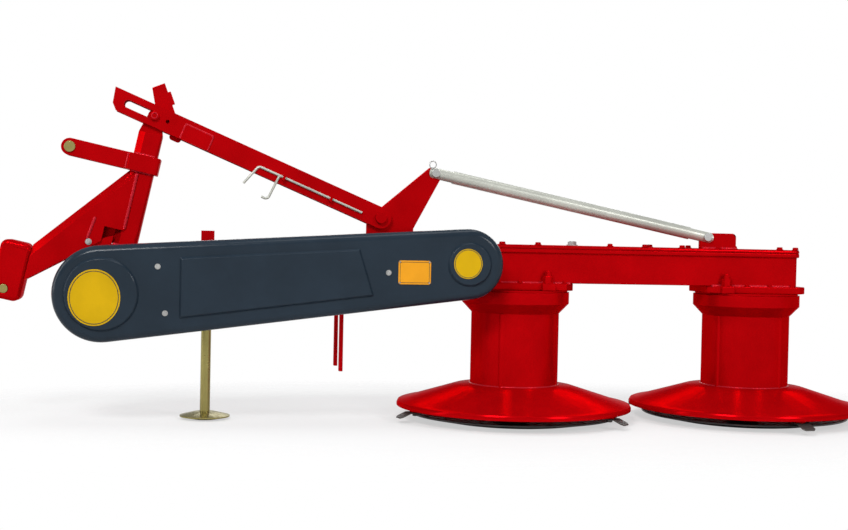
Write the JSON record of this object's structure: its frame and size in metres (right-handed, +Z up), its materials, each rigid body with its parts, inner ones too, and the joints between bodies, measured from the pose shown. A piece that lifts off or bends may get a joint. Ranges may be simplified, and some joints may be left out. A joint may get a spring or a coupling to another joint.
{
  "type": "drum mower",
  "caption": "Rear-mounted drum mower: gear beam over skirted cutting drums, belt drive under a long guard, leaning headstock, lift bar, tie rod and parking stand.",
  "frame": {"origin": "on the floor, on the inner drum's axis", "axes": "+X from the hitch to the outer drum, +Y from the belt guard to the far side, +Z up"},
  "size_m": [2.8852, 1.2037, 1.0732],
  "materials": {
    "red_paint": "gloss",
    "slate_paint": "gloss",
    "black_paint": "satin",
    "dark_steel": "satin",
    "grey_iron": "satin",
    "belt_rubber": "matte",
    "silver_paint": "satin",
    "gold_zinc": "satin",
    "bright_steel": "satin"
  },
  "bodies": {
    "mower": {"spindle_inner": "red_paint", "spindle_outer": "red_paint", "gear_beam": "red_paint", "beam_cover": "red_paint", "carrier_arm": "red_paint", "bearing_housing": "red_paint", "input_boss": "red_paint", "v_belts": "belt_rubber", "belt_guard": "slate_paint", "guard_studs": "red_paint", "bar_pin": "red_paint", "lift_bracket": "red_paint", "tie_rod": "silver_paint", "tie_pin_inner": "bright_steel", "tie_pin_outer": "bright_steel", "tie_lug": "red_paint", "stand_sleeve": "red_paint", "hanging_bars": "red_paint"},
    "drum_inner": {"drum_inner": "red_paint", "knives_inner": "dark_steel"},
    "drum_outer": {"drum_outer": "red_paint", "knives_outer": "dark_steel"},
    "skid_inner": {"skid_inner": "black_paint"},
    "skid_outer": {"skid_outer": "black_paint"},
    "drive": {"drive_pulley": "grey_iron"},
    "driven": {"driven_pulley": "grey_iron"},
    "headstock": {"pivot_lugs": "red_paint", "mast": "red_paint", "hitch_arm": "red_paint", "hitch_block": "red_paint", "lower_link_pin": "gold_zinc", "cross_tube": "red_paint", "far_link_pin": "gold_zinc", "top_link_strap": "red_paint", "top_link_pin": "gold_zinc", "lift_pin": "red_paint"},
    "lift_bar": {"lift_bar": "red_paint", "latch_lever": "red_paint", "latch_rod": "silver_paint"},
    "stand": {"stand": "gold_zinc"}
  },
  "joints": [
    {"name": "drum_inner_spin", "type": "hinge", "parent": "mower", "child": "drum_inner", "pos_m": [0, 0, 0.2], "axis": [0, 0, 1], "continuous": true},
    {"name": "drum_outer_spin", "type": "hinge", "parent": "mower", "child": "drum_outer", "pos_m": [0.81, 0, 0.2], "axis": [0, 0, 1], "continuous": true},
    {"name": "skid_inner_spin", "type": "hinge", "parent": "mower", "child": "skid_inner", "pos_m": [0, 0, 0.03], "axis": [0, 0, 1], "continuous": true},
    {"name": "skid_outer_spin", "type": "hinge", "parent": "mower", "child": "skid_outer", "pos_m": [0.81, 0, 0.03], "axis": [0, 0, 1], "continuous": true},
    {"name": "drive_spin", "type": "hinge", "parent": "mower", "child": "drive", "pos_m": [-1.33, 0, 0.408], "axis": [0, 1, 0], "continuous": true},
    {"name": "driven_spin", "type": "hinge", "parent": "mower", "child": "driven", "pos_m": [-0.205, -0.178, 0.517], "axis": [0, 1, 0], "continuous": true},
    {"name": "float_hinge", "type": "hinge", "parent": "mower", "child": "headstock", "pos_m": [-1.33, 0, 0.408], "axis": [0, -1, 0], "range_deg": [0, 9]},
    {"name": "lift_bar_hinge", "type": "hinge", "parent": "mower", "child": "lift_bar", "pos_m": [-0.461, 0, 0.659], "axis": [0, -1, 0], "range_deg": [0, 1.35]},
    {"name": "stand_slide", "type": "slide", "parent": "mower", "child": "stand", "axis": [0, 0, 1], "range_m": [0, 0.25]}
  ],
  "couplings": [
    {"joint": "drum_outer_spin", "follows": "drum_inner_spin", "ratio": -1},
    {"joint": "drive_spin", "follows": "drum_inner_spin", "ratio": 0.3134},
    {"joint": "driven_spin", "follows": "drum_inner_spin", "ratio": 0.4545},
    {"joint": "lift_bar_hinge", "follows": "float_hinge", "ratio": 0.14987}
  ]
}
